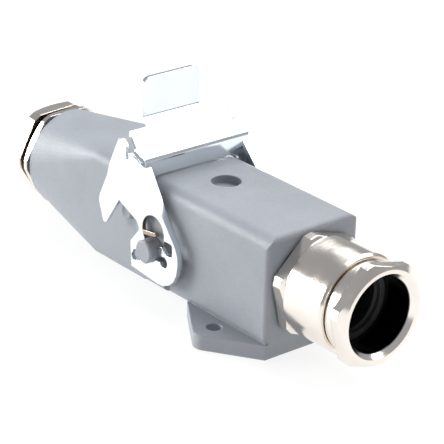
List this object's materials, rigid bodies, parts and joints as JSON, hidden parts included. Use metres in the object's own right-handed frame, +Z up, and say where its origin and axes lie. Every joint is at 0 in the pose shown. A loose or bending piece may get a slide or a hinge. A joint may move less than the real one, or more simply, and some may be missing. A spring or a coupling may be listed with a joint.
{
  "type": "rectangular industrial connector",
  "caption": "Grey surface-mount housing and cable hood of a rectangular industrial connector, mated under a bent sheet locking lever, with a hexagonal cable gland at each end.",
  "frame": {"origin": "on the mounting face of the foot, midway between its two screw holes", "axes": "+X along the cable axis towards the gland of the housing, +Z up from the mounting face, +Y across to the right seen along +X"},
  "size_m": [0.1279, 0.0454, 0.0518],
  "materials": {
    "grey_paint": "satin grey powder coat",
    "zinc_sheet": "bright zinc plated sheet steel",
    "nickel": "nickel plated brass, turned",
    "rubber_black": "matt rubber",
    "washer_black": "dark plastic",
    "insert_black": "moulded thermoplastic",
    "contact_brass": "turned contact metal",
    "screw_steel": "zinc plated steel"
  },
  "bodies": {
    "housing": {"housing_shell": "grey_paint", "housing_gland_ring": "rubber_black", "housing_gland_body": "nickel", "housing_gland_seal": "rubber_black", "housing_gland_washer": "washer_black", "joint_gasket": "rubber_black", "socket_insert": "insert_black", "socket_contacts": "contact_brass", "socket_terminal_screws": "screw_steel", "socket_fixing_screws": "screw_steel", "socket_earth_strip": "contact_brass", "socket_earth_screw": "screw_steel"},
    "housing_clamp": {"housing_gland_screw": "nickel"},
    "lever": {"lever": "zinc_sheet"},
    "hood": {"hood_shell": "grey_paint", "hood_gland_ring": "rubber_black", "hood_gland_body": "nickel", "hood_gland_seal": "rubber_black", "hood_gland_washer": "washer_black", "pin_insert": "insert_black", "pin_contacts": "contact_brass", "pin_terminal_screws": "screw_steel", "pin_fixing_screws": "screw_steel", "pin_earth_strip": "contact_brass", "pin_earth_screw": "screw_steel"},
    "hood_clamp": {"hood_gland_screw": "nickel"}
  },
  "joints": [
    {"name": "lever_pivot", "type": "hinge", "parent": "housing", "child": "lever", "pos_m": [-0.02525, 0, 0.0141], "axis": [0, 1, 0], "range_deg": [0, 28]},
    {"name": "hood_slide", "type": "slide", "parent": "housing", "child": "hood", "axis": [-1, 0, 0], "range_m": [0, 0.025]},
    {"name": "housing_clamp_turn", "type": "hinge", "parent": "housing", "child": "housing_clamp", "pos_m": [0.03805, 0, 0.0167], "axis": [1, 0, 0], "range_deg": [0, 360]},
    {"name": "hood_clamp_turn", "type": "hinge", "parent": "hood", "child": "hood_clamp", "pos_m": [-0.08985, 0, 0.0158], "axis": [-1, 0, 0], "range_deg": [0, 360]}
  ]
}
